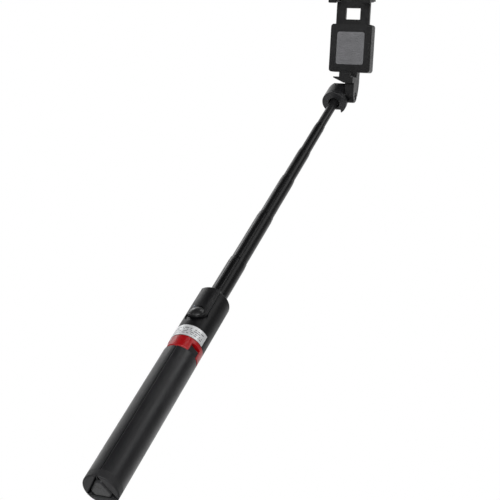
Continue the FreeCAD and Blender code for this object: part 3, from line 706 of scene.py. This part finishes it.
def make_tilt_screw():
    """Socket-headed screw through the head and the clip's arm."""
    low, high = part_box("tilt_screw")
    middle = (low + high) / 2
    place = Matrix.Translation((high.x, middle.y, middle.z)) @ Matrix.Rotation(math.pi / 2, 4, "Y")
    radius = (high.z - low.z) / 2
    head_height = 1.7 * MM
    dressed_screws("tilt_screw", [place],
                   (radius, head_height, 2.0 * MM, high.x - low.x - head_height, 0.3),
                   lambda: socket_recess(3.0 * MM, 1.1 * MM))


def make_shutter_button():
    """A round domed button over its flange and stem."""
    low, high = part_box("shutter_button")
    middle = (low + high) / 2
    flange = (high.x - low.x) / 2
    radius = flange - 0.3 * MM
    depth = high.y - low.y
    stem = 1.2 * MM
    floor = -2.8 * MM                  # front of the flange, behind the button's face
    crown = 2.0 * MM                   # rise of the dome over its rim
    profile = [(0, -depth), (stem, -depth), (stem, floor - 0.6 * MM), (flange, floor - 0.6 * MM),
               (flange, floor), (radius, floor), (radius, -crown - 0.3 * MM),
               (radius - 0.12 * MM, -crown)]
    ball = (radius ** 2 + crown ** 2) / (2 * crown)
    for step in range(1, 15):
        out = radius * (1 - step / 14)
        profile.append((out * 0.98, math.sqrt(ball ** 2 - out ** 2) - ball))
    place = Matrix.Translation((middle.x, low.y, middle.z)) @ Matrix.Rotation(math.pi / 2, 4, "X")
    piece = new_piece("shutter_button_domed", lathe(profile, 72), "button_plastic", "shutter",
                      place, sharp=50)
    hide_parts("shutter_button")


def make_indicator_light():
    """A light pipe with a domed end that stands just out of the remote."""
    low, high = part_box("indicator_light")
    middle = (low + high) / 2
    radius = (high.x - low.x) / 2
    length = high.y - low.y
    profile = [(0, -length), (radius, -length), (radius, -radius * 0.4)]
    for step in range(1, 7):
        angle = math.radians(15 * step)
        profile.append((radius * math.cos(angle) if step < 6 else 0,
                        -radius * 0.4 + radius * 0.55 * math.sin(angle)))
    place = Matrix.Translation((middle.x, low.y, middle.z)) @ Matrix.Rotation(math.pi / 2, 4, "X")
    piece = new_piece("indicator_light_domed", lathe(profile, 32), "light_lens", "remote", place)
    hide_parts("indicator_light")


def make_springs():
    """Two coiled return springs for the upper jaw, standing where the CAD springs stand."""
    wire = 0.32 * MM
    turns = 21
    steps_per_turn = 18
    sides = 7                          # of the wire's section
    end_share = 1 / 12                 # of the length, over which each end closes in
    end_radius = 0.25                  # of the coil's, at its very end
    bm = bmesh.new()
    boxes = islands("jaw_springs", CLIP)
    for low, high in boxes:
        middle = (low + high) / 2
        coil = (high.x - low.x) / 2 - wire
        count = turns * steps_per_turn
        rings = []
        for step in range(count + 1):
            share = step / count
            angle = TAU * turns * share
            closing = min(1.0, share / end_share, (1 - share) / end_share)
            radius = coil * (end_radius + (1 - end_radius) * closing)
            rise = low.z + wire + (high.z - low.z - 2 * wire) * share
            out = Vector((math.cos(angle), math.sin(angle), 0))
            spot = Vector((middle.x, middle.y, rise)) + out * radius
            ring = []
            for side in range(sides):
                around = TAU * side / sides
                ring.append(bm.verts.new(spot + out * wire * math.cos(around)
                                         + Vector((0, 0, wire * math.sin(around)))))
            rings.append(ring)
        for first, second in zip(rings, rings[1:]):
            for side in range(sides):
                following = (side + 1) % sides
                bm.faces.new((first[side], first[following], second[following], second[side]))
        bm.faces.new(rings[0])
        bm.faces.new(list(reversed(rings[-1])))
    piece = new_piece("jaw_springs_coiled", bm, "steel", None, CLIP)
    low, high = boxes[0]
    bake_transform(piece)
    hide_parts("jaw_springs")


def rib_row(name, node, low, high, along, count, height):
    """Rounded ribs on a clip pad or cover, spread evenly along one axis of the clip."""
    bm = bmesh.new()
    span = high[along] - low[along]
    pitch = span / count
    for step in range(count):
        start = low.copy()
        end = high.copy()
        start[along] = low[along] + pitch * (step + 0.22)
        end[along] = low[along] + pitch * (step + 0.78)
        add_block(bm, start, end)
    piece = new_piece(name, bm, slot_of[node], body_of_node(node), CLIP)
    bevelled(piece, height * 0.45, 3, 40)
    return piece


def make_pad_ribs():
    """Grip ribs on the rubber pads, sunk a little into each pad."""
    sink = 0.2 * MM
    lip = 3.2 * MM                     # the lower pad's raised edge, above its ribs
    low, high = clip_box("back_pad")
    margin = Vector((2.4 * MM, 0, 2.4 * MM))
    rib_row("back_pad_ribs", "back_pad", Vector((low.x, low.y - 0.15 * MM, low.z)) + margin,
            Vector((high.x, low.y + sink, high.z)) - margin, 2, 15, 0.35 * MM)
    low, high = clip_box("lower_jaw_pad")
    rib_row("lower_jaw_ribs", "lower_jaw_pad",
            Vector((low.x + 0.7 * MM, low.y + 2.2 * MM, high.z - lip - sink)),
            Vector((high.x - 0.7 * MM, high.y - 0.5 * MM, high.z - lip + 0.15 * MM)),
            1, 6, 0.3 * MM)
    for side, (low, high) in enumerate(islands("finger_pads", CLIP)):
        rib_row(f"finger_ribs_{side + 1}", "finger_pads",
                Vector((low.x + 0.6 * MM, low.y + 0.6 * MM, low.z - 0.15 * MM)),
                Vector((high.x - 0.6 * MM, high.y - 0.6 * MM, low.z + sink)), 1, 7, 0.3 * MM)


def make_cover_ribs():
    """A row of ribs on the back of the clip where fingers press."""
    low, high = clip_box("clip_cover")
    margin = 8 * MM
    rib_row("clip_cover_ribs", "clip_cover",
            Vector((low.x + margin, high.y - 0.3 * MM, low.z + 10 * MM)),
            Vector((high.x - margin, high.y + 0.45 * MM, high.z - 10 * MM)), 2, 9, 0.5 * MM)


def make_leg_ribs():
    """Cross ribs that stiffen each hollow leg."""
    inner = 9.85 * MM
    outer = 13.0 * MM
    half_sector = math.radians(50)
    thickness = 1.2 * MM
    steps = 14
    count = 5
    first_share = 0.12                 # of the leg's height, to the lowest rib
    pitch_share = 0.185                # from one rib to the next
    for number in (1, 2, 3):
        node = f"leg_shell_{number}"
        low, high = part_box(node)
        pin = next(j for j in frame["joints"] if j["name"] == f"leg_{number}_fold")["pos_m"]
        middle_turn = math.atan2(pin[1], pin[0])
        bm = bmesh.new()
        for index in range(count):
            base = low.z + (first_share + index * pitch_share) * (high.z - low.z)
            rows = []
            for step in range(steps + 1):
                angle = middle_turn - half_sector + 2 * half_sector * step / steps
                out = Vector((math.cos(angle), math.sin(angle), 0))
                rows.append([bm.verts.new(out * r + Vector((0, 0, base + z)))
                             for r, z in ((inner, 0), (outer, 0), (outer, thickness),
                                          (inner, thickness))])
            for first, second in zip(rows, rows[1:]):
                for k in range(4):
                    following = (k + 1) % 4
                    bm.faces.new((first[k], first[following], second[following], second[k]))
            bm.faces.new(rows[0])
            bm.faces.new(list(reversed(rows[-1])))
        piece = new_piece(f"leg_ribs_{number}", bm, slot_of[node], body_of_node(node))
        bevelled(piece, 0.2 * MM, 2, 40)


def make_seam_shade_fins():
    """Three short dark fins on the core's end, set in the seams between the closed legs as painted
    shade: they stop light showing through the seams.
    """
    inner = 9.5 * MM
    outer = 14.6 * MM
    half_thickness = 0.15 * MM
    height = 10 * MM
    base = cad_low.z + 0.15 * MM
    # Each fin is a thin dark sheet of painted shade standing in a seam.
    for number, turn in enumerate((30, 150, 270), 1):
        bm = bmesh.new()
        add_block(bm, (inner, -half_thickness, base), (outer, half_thickness, base + height),
                  Matrix.Rotation(math.radians(turn), 4, "Z"))
        new_piece(f"seam_shade_fin_{number}", bm, "core_plastic", body_of_node("core_cap"))


make_camera()
make_world()
make_floor()
soften_mouldings()
make_cover_screws()
make_hub_screws()
make_tilt_screw()
make_shutter_button()
make_indicator_light()
make_springs()
make_pad_ribs()
make_cover_ribs()
make_leg_ribs()
make_seam_shade_fins()

# Wide panels and a strip shade the round handle; the small ones light the button and edges.
area_light("key_front", 18, -42, 1.9, 1.3, 1.3, 36)
area_light("strip_middle", 54, 47, 2.0, 0.8, 1.6, 7.5)
area_light("panel_left", -95, 45, 2.0, 2.2, 1.8, 9)
area_light("spark_left", -78, 45, 1.8, 0.4, 0.4, 1.8)
area_light("spark_right", 16, 44, 1.8, 0.35, 0.35, 1.3)
area_light("panel_right", 165, 47, 2.2, 2.2, 2.2, 8)
area_light("spark_low", -40, -18, 1.8, 0.6, 0.6, 1.0)
area_light("panel_under", -150, -46, 1.6, 0.7, 0.5, 1.6)

bpy.context.scene.view_settings.view_transform = "Standard"
